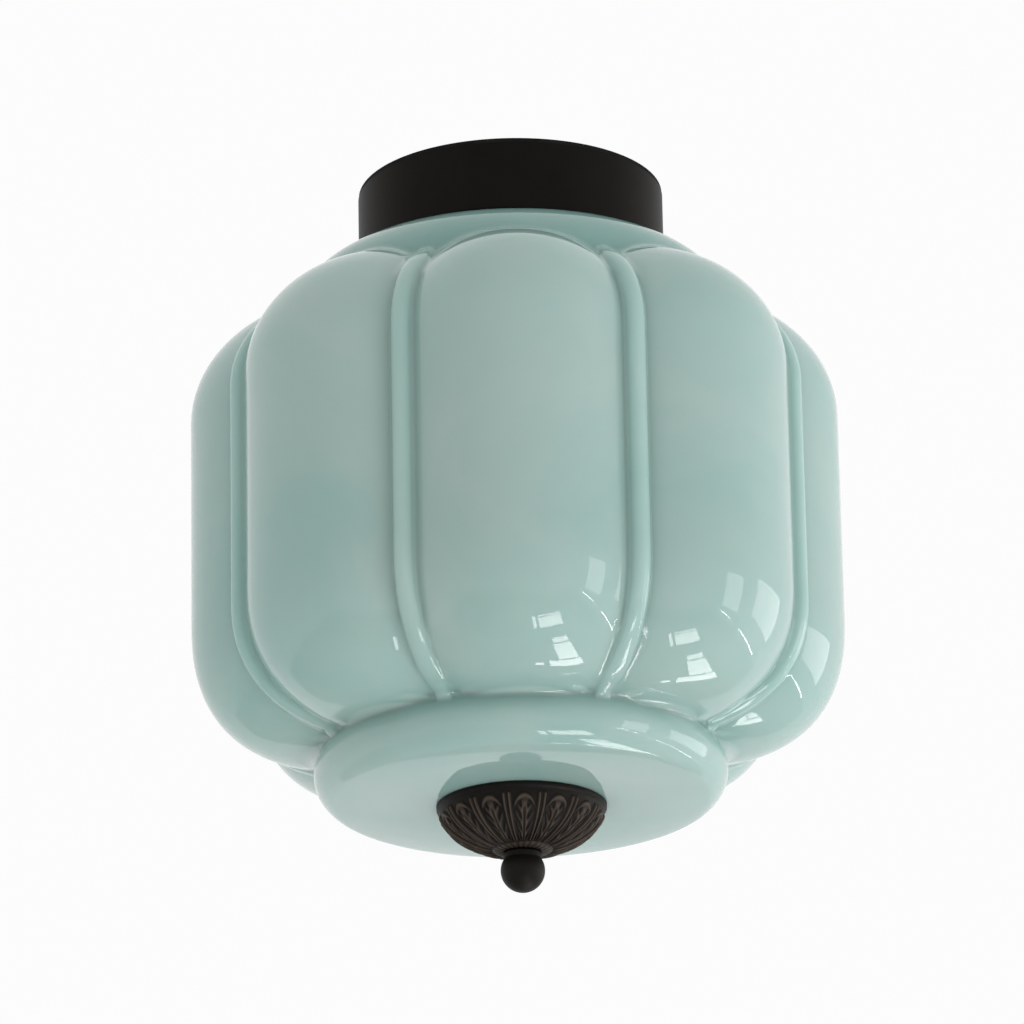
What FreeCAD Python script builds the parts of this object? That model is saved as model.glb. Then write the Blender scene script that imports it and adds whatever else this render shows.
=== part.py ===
# Porch ceiling lantern: an eight-lobed opal glass shade hung under a dark metal canopy.
# A threaded tube runs down the middle of it. The tube screws into a crossbar on the ceiling
# box, carries the canopy and two lampholders, passes through the shade, and ends in a ball
# nut that presses a cast leaf cap, and with it the shade, up against the canopy.
# Millimetres. The origin is on the ceiling plane, on the lantern's axis, and +Z is up.
import FreeCAD, Part
import math
import os
from FreeCAD import Vector

UP = Vector(0, 0, 1)
OUT = "parts"

# ---------------------------------------------------------------- driving sizes
# ceiling fixing
crossbar_length = 106.0
crossbar_width = 20.0
crossbar_thickness = 2.5
ceiling_screw_spacing = 88.9
ceiling_screw_hole_radius = 2.4
slot_inner = 26.0              # from the axis to the middle of the slot's inner end
slot_outer = 34.0
slot_radius = 2.4
ceiling_gasket_thickness = 2.0
ceiling_gasket_width = 4.0
ceiling_gasket_inset = 0.3

# canopy, a spun steel pan
canopy_radius = 71.5
canopy_height = 34.5
canopy_wall = 1.0
canopy_edge_round = 3.0
canopy_lead_hole_radius = 7.0
lead_hole_y = 20.0             # from the axis to the hole for the leads

# middle tube and its nuts
rod_radius = 5.0
rod_bore_radius = 3.6
thread_gap = 0.05              # radial, between mating threads drawn as plain cylinders
slip_gap = 0.3                 # radial, where a piece slides over the tube
rod_top_gap = 0.5              # the tube's top end stays this far below the ceiling plane
nut_across_flats = 14.0
nut_thickness = 4.0
washer_radius = 10.0
washer_thickness = 1.2
screw_slot_width = 0.8
screw_slot_depth = 0.8
hole_play = 0.5                # a blind hole is this much deeper than what goes in

# glass shade
lobe_count = 8
glass_radius = 150.4           # crest of a lobe
valley_depth = 14.5            # from the crest in to the valley between two lobes
bead_radius = 5.3              # half-round bead standing in each valley
glass_wall = 3.6
neck_radius = 60.0             # the opening that goes over the lampholders
neck_gasket_thickness = 1.5
neck_gasket_width = 9.0
collar_round = 33.4            # radius of the collar's dome
collar_rim_radius = 72.2       # where the dome starts, on top
collar_skirt = 3.0             # the dome runs straight down this far, inside the lobes
lobe_start = 15.7              # below the shade's top
lobe_shoulder_height = 60.0
lobe_shoulder_radius = 76.3    # crest where the lobes spring from the collar
lobe_shoulder_power = 2.0
groove_shoulder_radius = 50.0
groove_shoulder_power = 2.0
straight_height = 98.8
lobe_hip_height = 63.5         # lower rounding of the lobes
lobe_hip_radius = 91.4
lobe_hip_power = 2.4
groove_hip_drop = 6.8          # the valleys start to close this far below the lobes
groove_hip_height = 57.0
groove_hip_radius = 66.0
groove_hip_power = 2.3
loft_steps = 9                 # level sections on each rounding of the lobes
foot_radius = 94.8
foot_round = 15.2
foot_arc_end = 60.0            # degrees up from level, where the rounding ends inside the lobes
foot_reach = 8.0               # the foot and its hollow run this far up into the lobes
foot_height = 24.4             # from the lobes' lower end to the underside
rod_hole_radius = 7.0

# leaf cap
cap_radius = 39.2
cap_depth = 23.2               # half axis of its oval section
cap_wall = 2.4
cap_gasket_thickness = 1.6
cap_ledge_width = 7.0
cap_seat_cut = 0.7             # the oval's tip is cut off flat by this much
cap_boss_radius = 10.0
rim_gap = 0.3

# neck ring, ball nut
neck_ring_radius = 8.8
neck_ring_height = 3.0
neck_ring_chamfer = 0.4
ball_radius = 10.15
insert_radius = 7.0
insert_length = 9.5

# lampholders and lamps
bracket_length = 92.0
bracket_width = 16.0
bracket_thickness = 2.0
bracket_end_flat = 1.0         # straight part left between the round corners of each end
bracket_drop = 24.0            # from the canopy's floor to the bracket's top
holder_offset = 31.0           # from the axis to each lamp's axis
holder_radius = 20.0
holder_height = 42.0
holder_top_thickness = 12.0
holder_rim_round = 2.0
socket_radius = 14.6
shell_wall = 0.5
shell_length = 24.0
lamp_cap_radius = 13.2
lamp_cap_length = 22.0
lamp_cap_step = 1.0            # from the holder's lower rim up to the cap's mouth
lamp_globe_radius = 22.5
lamp_globe_drop = 21.0         # from the cap's mouth to the globe's centre
lamp_globe_wall = 0.9
lamp_neck_angle = 50.0         # degrees up from level, where the globe turns into its neck
lamp_neck_length = 4.0
lamp_cap_wall = 0.6
cement_gap = 0.2
insulator_radius = 9.0
contact_gap = 0.3
tip_radius = 4.6
tip_height = 2.0
insulator_height = 3.0
tongue_thickness = 0.6
tongue_width = 7.0
holder_screw_offset = 10.0     # either side of the lamp's axis, along the bracket
holder_screw_radius = 1.5
holder_screw_head_radius = 3.0
holder_screw_head_height = 2.0
holder_screw_length = 9.0

# wiring
lead_radius = 1.1
lead_hole_radius = 1.3
lead_depth = 5.0               # how far a lead goes into a holder or the terminal block
lead_entry_y = 13.0            # from the lamp's axis to the lead's hole
lead_pitch = 2.5               # between leads, side by side in the grommet
lead_block_run = 6.0           # straight run out of the terminal block
lead_arch = 0.5                # rise between the block and the grommet
lead_turn_drop = 8.5           # under the canopy, where the outer leads turn aside
lead_layer = 4.5               # the inner leads turn this much lower
lead_sag = 3.0
grommet_wall = 1.8
grommet_lip = 1.6
grommet_lip_thickness = 1.2
block_length = 44.0
block_depth = 16.0
block_height = 14.0
block_wall_gap = 16.5          # from the canopy's wall to the block's back
pole_pitch = 6.0
pole_screw_radius = 1.9
pole_screw_height = 3.0
pole_screw_sink = 0.4
block_screw_offset = 18.0      # from the block's middle to each fixing screw
block_screw_radius = 1.5
block_screw_head_radius = 2.8
block_screw_head_height = 1.8
block_screw_end = 1.6          # thread showing under the canopy's floor
earth_screw_x = 15.0
earth_screw_radius = 2.0
earth_screw_head_radius = 4.0
earth_screw_head_height = 2.4
earth_screw_sink = 0.2         # its end stays this far below the crossbar's top
lug_thickness = 0.8
lug_radius = 4.4
lug_barrel_radius = 1.8
lug_barrel_start = 5.0         # from the earth screw's axis
lug_barrel_end = 11.0
earth_lead_run = 7.0           # straight run out of the terminal block
earth_bend_x = 5.0
earth_bend_back = 15.0         # from the block's face
earth_bend_rise = 11.0
earth_top_back = 17.0

# ---------------------------------------------------------------- levels, top to bottom
canopy_top = -ceiling_gasket_thickness
canopy_bottom = canopy_top - canopy_height
canopy_floor = canopy_bottom + canopy_wall
glass_top = canopy_bottom - neck_gasket_thickness
groove_radius = glass_radius - valley_depth
lobe_top = glass_top - lobe_start
straight_top = lobe_top - lobe_shoulder_height
straight_bottom = straight_top - straight_height
lobe_bottom = straight_bottom - lobe_hip_height
glass_bottom = lobe_bottom - foot_height
foot_centre = glass_bottom + foot_round
cap_seat = glass_bottom - cap_depth + cap_seat_cut - rim_gap
ring_bottom = cap_seat - neck_ring_height
ball_centre = ring_bottom - math.sqrt(ball_radius ** 2 - neck_ring_radius ** 2)
rod_bottom = ring_bottom - insert_length
earth_lead_level = -crossbar_thickness - lug_barrel_radius
block_y = canopy_radius - canopy_wall - block_wall_gap - block_depth / 2
block_top = canopy_floor + block_height
pole_level = canopy_floor + block_height / 2
block_face = block_y - block_depth / 2
bracket_top = canopy_bottom - bracket_drop
bracket_bottom = bracket_top - bracket_thickness
holder_bottom = bracket_bottom - holder_height
socket_top = bracket_bottom - holder_top_thickness
lamp_cap_mouth = holder_bottom + lamp_cap_step
lamp_cap_top = lamp_cap_mouth + lamp_cap_length
globe_centre = lamp_cap_mouth - lamp_globe_drop


# ---------------------------------------------------------------- plain shapes
def cylinder(radius, bottom, top, x=0.0, y=0.0):
    return Part.makeCylinder(radius, top - bottom, Vector(x, y, bottom), UP)


def tube(outer, inner, bottom, top, x=0.0, y=0.0):
    return cylinder(outer, bottom, top, x, y).cut(cylinder(inner, bottom - 1, top + 1, x, y))


def block(length, depth, height, x, y, bottom):
    corner = Vector(x - length / 2, y - depth / 2, bottom)
    return Part.makeBox(length, depth, height, corner)


def turned(edges):
    """Solid of revolution about Z from edges drawn in the XZ plane, closed along the axis."""
    face = Part.Face(Part.Wire(Part.__sortEdges__(edges)))
    return face.revolve(Vector(0, 0, 0), UP, 360)


def line(a, b):
    return Part.LineSegment(Vector(a[0], 0, a[1]), Vector(b[0], 0, b[1])).toShape()


def arc(a, middle, b):
    points = [Vector(p[0], 0, p[1]) for p in (a, middle, b)]
    return Part.Arc(*points).toShape()


def outline(points):
    """Straight edges through the points, closed back to the first."""
    return [line(a, b) for a, b in zip(points, points[1:] + points[:1])]


def on_circle(centre, radius, degrees):
    angle = math.radians(degrees)
    return (centre[0] + radius * math.cos(angle), centre[1] + radius * math.sin(angle))


def hex_nut(top):
    corner = nut_across_flats / math.sqrt(3)
    points = []
    for side in range(7):
        angle = math.radians(60 * side)
        points.append(Vector(corner * math.cos(angle), corner * math.sin(angle), top - nut_thickness))
    prism = Part.Face(Part.makePolygon(points)).extrude(Vector(0, 0, nut_thickness))
    return prism.cut(cylinder(rod_radius + thread_gap, top - nut_thickness - 1, top + 1))


def flat_washer(top):
    return tube(washer_radius, rod_radius + slip_gap, top - washer_thickness, top)


def screw_slot(x, y, level, head_radius):
    """Cutter for a driver slot in a screw head's flat face at this level."""
    return block(2 * head_radius + 1, screw_slot_width, 2 * screw_slot_depth, x, y, level - screw_slot_depth)


def hanging_screw(x, y, seat, head_radius, head_height, radius, length):
    """A screw whose head lies under the seat and whose shank goes up from it."""
    head = cylinder(head_radius, seat - head_height, seat, x, y)
    shank = cylinder(radius, seat, seat + length, x, y)
    slot = screw_slot(x, y, seat - head_height, head_radius)
    return head.fuse(shank).cut(slot).removeSplitter()


# ---------------------------------------------------------------- ceiling fixing
def mounting_crossbar():
    bar = block(crossbar_length, crossbar_width, crossbar_thickness, 0, 0, -crossbar_thickness)
    low, high = -crossbar_thickness - 1, 1
    bar = bar.cut(cylinder(rod_radius + thread_gap, low, high))
    for side in (-1, 1):
        screw_x = side * ceiling_screw_spacing / 2
        bar = bar.cut(cylinder(ceiling_screw_hole_radius, low, high, screw_x))
        middle = side * (slot_inner + slot_outer) / 2
        slot = block(slot_outer - slot_inner, 2 * slot_radius, high - low, middle, 0, low)
        for end in (slot_inner, slot_outer):
            slot = slot.fuse(cylinder(slot_radius, low, high, side * end))
        bar = bar.cut(slot)
    return bar.cut(cylinder(earth_screw_radius, low, high, earth_screw_x)).removeSplitter()


def earth_screw():
    seat = -crossbar_thickness - lug_thickness
    return hanging_screw(earth_screw_x, 0, seat, earth_screw_head_radius, earth_screw_head_height,
                         earth_screw_radius - thread_gap,
                         crossbar_thickness + lug_thickness - earth_screw_sink)


def earth_lug():
    """Ring terminal under the earth screw's head, with a barrel for the earth lead."""
    top = -crossbar_thickness
    ring = cylinder(lug_radius, top - lug_thickness, top, earth_screw_x)
    tail = block(2 * lug_barrel_radius, lug_barrel_end, lug_thickness, earth_screw_x,
                 lug_barrel_end / 2, top - lug_thickness)
    centre = Vector(earth_screw_x, lug_barrel_start, earth_lead_level)
    length = lug_barrel_end - lug_barrel_start
    barrel = Part.makeCylinder(lug_barrel_radius, length, centre, Vector(0, 1, 0))
    bore = Part.makeCylinder(lead_radius + thread_gap, length + 2, centre - Vector(0, 1, 0), Vector(0, 1, 0))
    hole = cylinder(earth_screw_radius, top - lug_thickness - 1, top + 1, earth_screw_x)
    return ring.fuse(tail).fuse(barrel).cut(bore).cut(hole).removeSplitter()


def ceiling_gasket():
    outer = canopy_radius - ceiling_gasket_inset
    return tube(outer, outer - ceiling_gasket_width, -ceiling_gasket_thickness, 0)


# ---------------------------------------------------------------- canopy
def canopy_pan():
    pan = cylinder(canopy_radius, canopy_bottom, canopy_top)
    low_edges = [e for e in pan.Edges if abs(e.BoundBox.ZMax - canopy_bottom) < 1e-6]
    pan = pan.makeFillet(canopy_edge_round, [e for e in low_edges if e.Length > 10])
    hollow = cylinder(canopy_radius - canopy_wall, canopy_floor, canopy_top + 1)
    low_edges = [e for e in hollow.Edges if abs(e.BoundBox.ZMax - canopy_floor) < 1e-6]
    inner_round = canopy_edge_round - canopy_wall
    hollow = hollow.makeFillet(inner_round, [e for e in low_edges if e.Length > 10])
    rolled = tube(canopy_radius, canopy_radius - ceiling_gasket_width, canopy_top - canopy_wall, canopy_top)
    pan = pan.cut(hollow).fuse(rolled)
    low, high = canopy_bottom - 1, canopy_floor + 1
    pan = pan.cut(cylinder(rod_radius + slip_gap, low, high))
    pan = pan.cut(cylinder(canopy_lead_hole_radius, low, high, 0, lead_hole_y))
    for side in (-1, 1):
        pan = pan.cut(cylinder(block_screw_radius, low, high, side * block_screw_offset, block_y))
    return pan.removeSplitter()


def lead_grommet():
    """Rubber ring snapped into the canopy's floor, with a lip either side of the sheet."""
    bore = canopy_lead_hole_radius - grommet_wall
    lip = canopy_lead_hole_radius + grommet_lip
    high = canopy_floor + grommet_lip_thickness
    low = canopy_bottom - grommet_lip_thickness
    profile = [(bore, low), (lip, low), (lip, canopy_bottom), (canopy_lead_hole_radius, canopy_bottom),
               (canopy_lead_hole_radius, canopy_floor), (lip, canopy_floor), (lip, high), (bore, high)]
    ring = turned(outline(profile))
    ring.translate(Vector(0, lead_hole_y, 0))
    return ring


def neck_gasket():
    return tube(neck_radius + neck_gasket_width, neck_radius, glass_top, canopy_bottom)


# ---------------------------------------------------------------- middle tube
def centre_rod():
    return tube(rod_radius, rod_bore_radius, rod_bottom, -rod_top_gap)


def rod_nuts():
    """Top of each nut: under the crossbar, on and under the canopy's floor, and at the bracket."""
    return {
        "crossbar_nut": hex_nut(-crossbar_thickness),
        "canopy_upper_nut": hex_nut(canopy_floor + washer_thickness + nut_thickness),
        "canopy_lower_nut": hex_nut(canopy_bottom - washer_thickness),
        "bracket_upper_nut": hex_nut(bracket_top + nut_thickness),
        "bracket_lower_nut": hex_nut(bracket_bottom),
    }


def rod_washers():
    return {
        "canopy_upper_washer": flat_washer(canopy_floor + washer_thickness),
        "canopy_lower_washer": flat_washer(canopy_bottom),
    }


# ---------------------------------------------------------------- glass shade
def oval(height, reach, low_radius, high_radius, power):
    """Radius on an oval shoulder: high_radius at height 0, low_radius at height reach."""
    share = min(max(height / reach, 0.0), 1.0)
    return low_radius + (high_radius - low_radius) * (1 - share ** power) ** (1 / power)


def crest_at(z, inset):
    """Radius of a lobe's crest at level z, with the wall's inside at inset = glass_wall."""
    full = glass_radius - inset
    if z > straight_top:
        reach = lobe_shoulder_height - inset
        return oval(z - straight_top, reach, lobe_shoulder_radius - inset, full, lobe_shoulder_power)
    reach = lobe_hip_height - inset
    return oval(straight_bottom - z, reach, lobe_hip_radius - inset, full, lobe_hip_power)


def groove_at(z, inset):
    """Radius of the valley between two lobes at level z."""
    full = groove_radius - inset
    if z > straight_top:
        reach = lobe_shoulder_height - inset
        return oval(z - straight_top, reach, groove_shoulder_radius - inset, full, groove_shoulder_power)
    height = straight_bottom - groove_hip_drop - z
    return oval(height, groove_hip_height - inset, groove_hip_radius - inset, full, groove_hip_power)


def polar(radius, angle, z):
    return Vector(radius * math.cos(angle), radius * math.sin(angle), z)


def lobed_wire(z, inset, bead):
    """One level section: an arc for each lobe and, outside, a half-round bead in each valley."""
    crest, groove = crest_at(z, inset), groove_at(z, inset)
    pitch = 2 * math.pi / lobe_count
    half_bead = math.asin(bead / groove) if bead else 0.0
    edges = []
    for lobe in range(lobe_count):
        middle = lobe * pitch - math.pi / 2
        start = polar(groove, middle - pitch / 2 + half_bead, z)
        end = polar(groove, middle + pitch / 2 - half_bead, z)
        edges.append(Part.Arc(start, polar(crest, middle, z), end).toShape())
        if bead:
            top = polar(groove * math.cos(half_bead) + bead, middle + pitch / 2, z)
            after = polar(groove, middle + pitch / 2 + half_bead, z)
            edges.append(Part.Arc(end, top, after).toShape())
    return Part.Wire(edges)


def lobed_body(inset, bead):
    """The lobes, lofted through level sections that lie closer together on the roundings."""
    levels = []
    for step in range(loft_steps, 0, -1):
        share = math.sin(math.pi / 2 * step / loft_steps)
        levels.append(straight_top + share * (lobe_shoulder_height - inset))
    levels += [straight_top, (straight_top + straight_bottom) / 2, straight_bottom]
    for step in range(1, loft_steps + 1):
        share = math.sin(math.pi / 2 * step / loft_steps)
        levels.append(straight_bottom - share * (lobe_hip_height - inset))
    return Part.makeLoft([lobed_wire(z, inset, bead) for z in levels], True, False)


def collar_body(inset, top, bottom):
    """Dome of revolution from the shade's top rim down into the lobes."""
    centre = (collar_rim_radius, glass_top - collar_round)
    radius = collar_round - inset
    start, end = on_circle(centre, radius, 90), on_circle(centre, radius, 0)
    edges = [line((0, top), (start[0], top)), arc(start, on_circle(centre, radius, 45), end),
             line(end, (end[0], bottom)), line((end[0], bottom), (0, bottom)), line((0, bottom), (0, top))]
    return turned(edges)


def foot_body(inset, top):
    """The round foot under the lobes, with its rounded edge and flat underside."""
    centre = (foot_radius - foot_round, foot_centre)
    radius = foot_round - inset
    low, high = on_circle(centre, radius, -90), on_circle(centre, radius, foot_arc_end)
    middle = on_circle(centre, radius, (foot_arc_end - 90) / 2)
    floor = glass_bottom + inset
    edges = [line((0, floor), low), arc(low, middle, high), line(high, (high[0], top)),
             line((high[0], top), (0, top)), line((0, top), (0, floor))]
    return turned(edges)


def glass_shade():
    collar_end = glass_top - collar_round - collar_skirt
    foot_top = lobe_bottom + foot_reach
    outside = lobed_body(0.0, bead_radius)
    outside = outside.fuse(collar_body(0.0, glass_top, collar_end)).fuse(foot_body(0.0, foot_top))
    hollow = lobed_body(glass_wall, 0.0)
    hollow = hollow.fuse(collar_body(glass_wall, glass_top - glass_wall, collar_end))
    hollow = hollow.fuse(foot_body(glass_wall, foot_top))
    shade = outside.cut(hollow)
    shade = shade.cut(cylinder(neck_radius, glass_top - 2 * glass_wall, glass_top + 1))
    return shade.cut(cylinder(rod_hole_radius, glass_bottom - 1, glass_bottom + 2 * glass_wall))


# ---------------------------------------------------------------- leaf cap, ring and ball
def half_oval(radius, depth, top):
    """Solid half of an oval of revolution, flat side up at level top."""
    ball = Part.makeSphere(1.0, Vector(0, 0, 0), UP, -90, 0, 360)
    stretch = FreeCAD.Matrix()
    stretch.scale(radius, radius, depth)
    shape = ball.transformGeometry(stretch)
    shape.translate(Vector(0, 0, top))
    return shape


def leaf_cap():
    rim = glass_bottom - rim_gap
    ledge_top = glass_bottom - cap_gasket_thickness
    shell = half_oval(cap_radius, cap_depth, rim)
    shell = shell.cut(half_oval(cap_radius - cap_wall, cap_depth - cap_wall, rim))
    inner = cap_radius - cap_wall
    ledge = cylinder(inner, ledge_top - cap_wall, ledge_top)
    ledge = ledge.cut(cylinder(inner - cap_ledge_width, ledge_top - cap_wall - 1, ledge_top + 1))
    ledge = ledge.common(half_oval(cap_radius - cap_wall / 2, cap_depth - cap_wall / 2, rim))
    boss = cylinder(cap_boss_radius, cap_seat, rim - cap_depth / 2)
    boss = boss.common(half_oval(cap_radius, cap_depth, rim))
    cap = shell.fuse(ledge).fuse(boss)
    cap = cap.cut(cylinder(cap_radius, cap_seat - cap_depth, cap_seat))
    return cap.cut(cylinder(rod_radius + slip_gap, cap_seat - 1, rim)).removeSplitter()


def cap_gasket():
    ledge_top = glass_bottom - cap_gasket_thickness
    outer = cap_radius - cap_wall - rim_gap
    return tube(outer, outer - cap_ledge_width + 2 * rim_gap, ledge_top, glass_bottom)


def neck_ring():
    ring = tube(neck_ring_radius, rod_radius + slip_gap, ring_bottom, cap_seat)
    rims = [e for e in ring.Edges if e.Length > 2 * math.pi * (neck_ring_radius - 0.1)]
    return ring.makeChamfer(neck_ring_chamfer, rims[:2])


def ball_nut():
    ball = Part.makeSphere(ball_radius, Vector(0, 0, ball_centre))
    ball = ball.cut(cylinder(ball_radius + 1, ring_bottom, ball_centre + 2 * ball_radius))
    pocket = cylinder(insert_radius, rod_bottom - 2 * thread_gap, ring_bottom + 1)
    return ball.cut(pocket)


def ball_insert():
    return tube(insert_radius - thread_gap, rod_radius + thread_gap, rod_bottom, ring_bottom)


# ---------------------------------------------------------------- lampholders and lamps
def lamp_bracket():
    strap = block(bracket_length, bracket_width, bracket_thickness, 0, 0, bracket_bottom)
    upright = [e for e in strap.Edges if e.BoundBox.ZLength > bracket_thickness / 2]
    strap = strap.makeFillet((bracket_width - bracket_end_flat) / 2, upright)
    strap = strap.cut(cylinder(rod_radius + slip_gap, bracket_bottom - 1, bracket_top + 1))
    for x in holder_screw_places():
        strap = strap.cut(cylinder(holder_screw_radius + thread_gap, bracket_bottom - 1, bracket_top + 1, x))
    return strap


def holder_screw_places():
    places = []
    for side in (-1, 1):
        for step in (-1, 1):
            places.append(side * holder_offset + step * holder_screw_offset)
    return places


def lampholder(x):
    body = cylinder(holder_radius, holder_bottom, bracket_bottom, x)
    rims = [e for e in body.Edges if abs(e.BoundBox.ZMax - holder_bottom) < 1e-6 and e.Length > 50]
    body = body.makeFillet(holder_rim_round, rims)
    body = body.cut(cylinder(socket_radius, holder_bottom - 1, socket_top, x))
    for step in (-1, 1):
        hole_x = x + step * holder_screw_offset
        depth = holder_screw_length - bracket_thickness + hole_play
        body = body.cut(cylinder(holder_screw_radius, bracket_bottom - depth, bracket_bottom + 1, hole_x))
        low = bracket_bottom - lead_depth - hole_play
        body = body.cut(cylinder(lead_hole_radius, low, bracket_bottom + 1, x, step * lead_entry_y))
    return body


def screw_shell(x):
    outer = socket_radius - thread_gap
    return tube(outer, outer - shell_wall, socket_top - shell_length, socket_top, x)


def contact_tongue(x):
    foot = block(tongue_width * 2, tongue_width, tongue_thickness, x, 0, socket_top - tongue_thickness)
    tip_top = lamp_cap_top + insulator_height + tip_height + contact_gap
    post = block(tongue_width, tongue_width, socket_top - tip_top, x, 0, tip_top)
    return foot.fuse(post).removeSplitter()


def holder_screws():
    shapes = []
    for x in holder_screw_places():
        screw = cylinder(holder_screw_head_radius, bracket_top, bracket_top + holder_screw_head_height, x)
        shank = cylinder(holder_screw_radius - thread_gap, bracket_top - holder_screw_length, bracket_top, x)
        slot = screw_slot(x, 0, bracket_top + holder_screw_head_height, holder_screw_head_radius)
        shapes.append(screw.fuse(shank).cut(slot).removeSplitter())
    return Part.makeCompound(shapes)


def globe_outline(inset, neck_top):
    """Half section of the blown bulb: a sphere that runs into a neck inside the metal cap."""
    centre = (0, globe_centre)
    radius = lamp_globe_radius - inset
    low = on_circle(centre, radius, -90)
    joint = on_circle(centre, radius, lamp_neck_angle)
    middle = on_circle(centre, radius, (lamp_neck_angle - 90) / 2)
    neck = lamp_cap_radius - lamp_cap_wall - cement_gap - inset
    neck_low = lamp_cap_mouth - cement_gap
    return [arc((0, low[1]), middle, joint), line(joint, (neck, neck_low)),
            line((neck, neck_low), (neck, neck_top)), line((neck, neck_top), (0, neck_top)),
            line((0, neck_top), (0, low[1]))]


def lamp_globe(x):
    globe = turned(globe_outline(0.0, lamp_cap_mouth + lamp_neck_length))
    globe = globe.cut(turned(globe_outline(lamp_globe_wall, lamp_cap_mouth + lamp_neck_length + 1)))
    globe.translate(Vector(x, 0, 0))
    return globe


def lamp_cap(x):
    inner = lamp_cap_radius - lamp_cap_wall
    shell = tube(lamp_cap_radius, inner, lamp_cap_mouth, lamp_cap_top, x)
    lid = tube(lamp_cap_radius, insulator_radius, lamp_cap_top - lamp_cap_wall, lamp_cap_top, x)
    return shell.fuse(lid).removeSplitter()


def lamp_insulator(x):
    low = lamp_cap_top - lamp_cap_wall
    plug = cylinder(insulator_radius, low, lamp_cap_top, x)
    cone = Part.makeCone(insulator_radius, tip_radius, insulator_height, Vector(x, 0, lamp_cap_top), UP)
    return plug.fuse(cone).removeSplitter()


def lamp_contact(x):
    low = lamp_cap_top + insulator_height
    return Part.makeCone(tip_radius, tip_radius / 2, tip_height, Vector(x, 0, low), UP)


# ---------------------------------------------------------------- wiring
def rounded_path(points):
    """Straight runs joined by tangent arcs, as large as the two runs at a corner allow."""
    points = [Vector(*p) for p in points]
    edges, at = [], points[0]
    for before, corner, after in zip(points, points[1:], points[2:]):
        into, away = (corner - before), (after - corner)
        shorter = min(into.Length, away.Length)
        into.normalize()
        away.normalize()
        turn = into.getAngle(away)
        reach = 0.45 * shorter
        radius = reach / math.tan(turn / 2)
        start, end = corner - into * reach, corner + away * reach
        inward = away - into
        inward.normalize()
        middle = corner + inward * (radius / math.cos(turn / 2) - radius)
        edges.append(Part.LineSegment(at, start).toShape())
        edges.append(Part.Arc(start, middle, end).toShape())
        at = end
        print("lead bend radius %.1f" % radius)
    edges.append(Part.LineSegment(at, points[-1]).toShape())
    return Part.Wire(edges)


def lead(points):
    path = rounded_path(points)
    along = Vector(*points[1]) - Vector(*points[0])
    ring = Part.Wire(Part.makeCircle(lead_radius, Vector(*points[0]), along))
    solid = path.makePipeShell([ring], True, True)
    wanted = math.pi * lead_radius ** 2 * path.Length
    print("lead length %.1f, volume share %.3f" % (path.Length, solid.Volume / wanted))
    return solid


def pole_places():
    return [step * pole_pitch for step in (-2, -1, 0, 1, 2)]


def terminal_block():
    body = block(block_length, block_depth, block_height, 0, block_y, canopy_floor)
    for x in pole_places():
        start = Vector(x, block_face - 1, pole_level)
        depth = lead_depth + hole_play + 1
        body = body.cut(Part.makeCylinder(lead_hole_radius, depth, start, Vector(0, 1, 0)))
        low = block_top - pole_screw_height - hole_play
        body = body.cut(cylinder(pole_screw_radius, low, block_top + 1, x, block_y))
    for side in (-1, 1):
        x = side * block_screw_offset
        body = body.cut(cylinder(block_screw_radius, canopy_floor - 1, block_top + 1, x, block_y))
    return body


def pole_screws():
    shapes = []
    for x in pole_places():
        low, high = block_top - pole_screw_height, block_top - pole_screw_sink
        screw = cylinder(pole_screw_radius - thread_gap, low, high, x, block_y)
        shapes.append(screw.cut(screw_slot(x, block_y, high, pole_screw_radius)))
    return Part.makeCompound(shapes)


def block_screws():
    shapes = []
    for side in (-1, 1):
        x = side * block_screw_offset
        head = cylinder(block_screw_head_radius, block_top, block_top + block_screw_head_height, x, block_y)
        low = canopy_bottom - block_screw_end
        shank = cylinder(block_screw_radius - thread_gap, low, block_top, x, block_y)
        slot = screw_slot(x, block_y, block_top + block_screw_head_height, block_screw_head_radius)
        shapes.append(head.fuse(shank).cut(slot).removeSplitter())
    return Part.makeCompound(shapes)


def lamp_leads():
    """Four leads: from the block, side by side through the grommet, into the lampholders' tops.

    On each side the outer lead goes to the far hole and turns first; the inner one passes
    below it to the near hole."""
    leads = {}
    end_level = bracket_bottom - lead_depth
    for side, side_name in ((-1, "left"), (1, "right")):
        for place, step, name in ((2, 1, "live"), (1, -1, "neutral")):
            pole_x = side * place * pole_pitch
            x = side * (place - 0.5) * lead_pitch
            turn_level = canopy_bottom - lead_turn_drop - lead_layer * (2 - place)
            end_x, end_y = side * holder_offset, step * lead_entry_y
            points = [(pole_x, block_face + lead_depth, pole_level),
                      (pole_x, block_face - lead_block_run, pole_level),
                      (x, lead_hole_y, pole_level + lead_arch), (x, lead_hole_y, turn_level),
                      (end_x, end_y, turn_level - lead_sag), (end_x, end_y, end_level)]
            leads["%s_lead_%s" % (name, side_name)] = lead(points)
    return leads


def earth_lead():
    """From the block's middle pole up to the ring terminal on the crossbar."""
    points = [(0, block_face + lead_depth, pole_level), (0, block_face - earth_lead_run, pole_level),
              (earth_bend_x, block_face - earth_bend_back, pole_level + earth_bend_rise),
              (earth_screw_x, block_face - earth_top_back, earth_lead_level),
              (earth_screw_x, lug_barrel_start + hole_play, earth_lead_level)]
    return lead(points)


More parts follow.
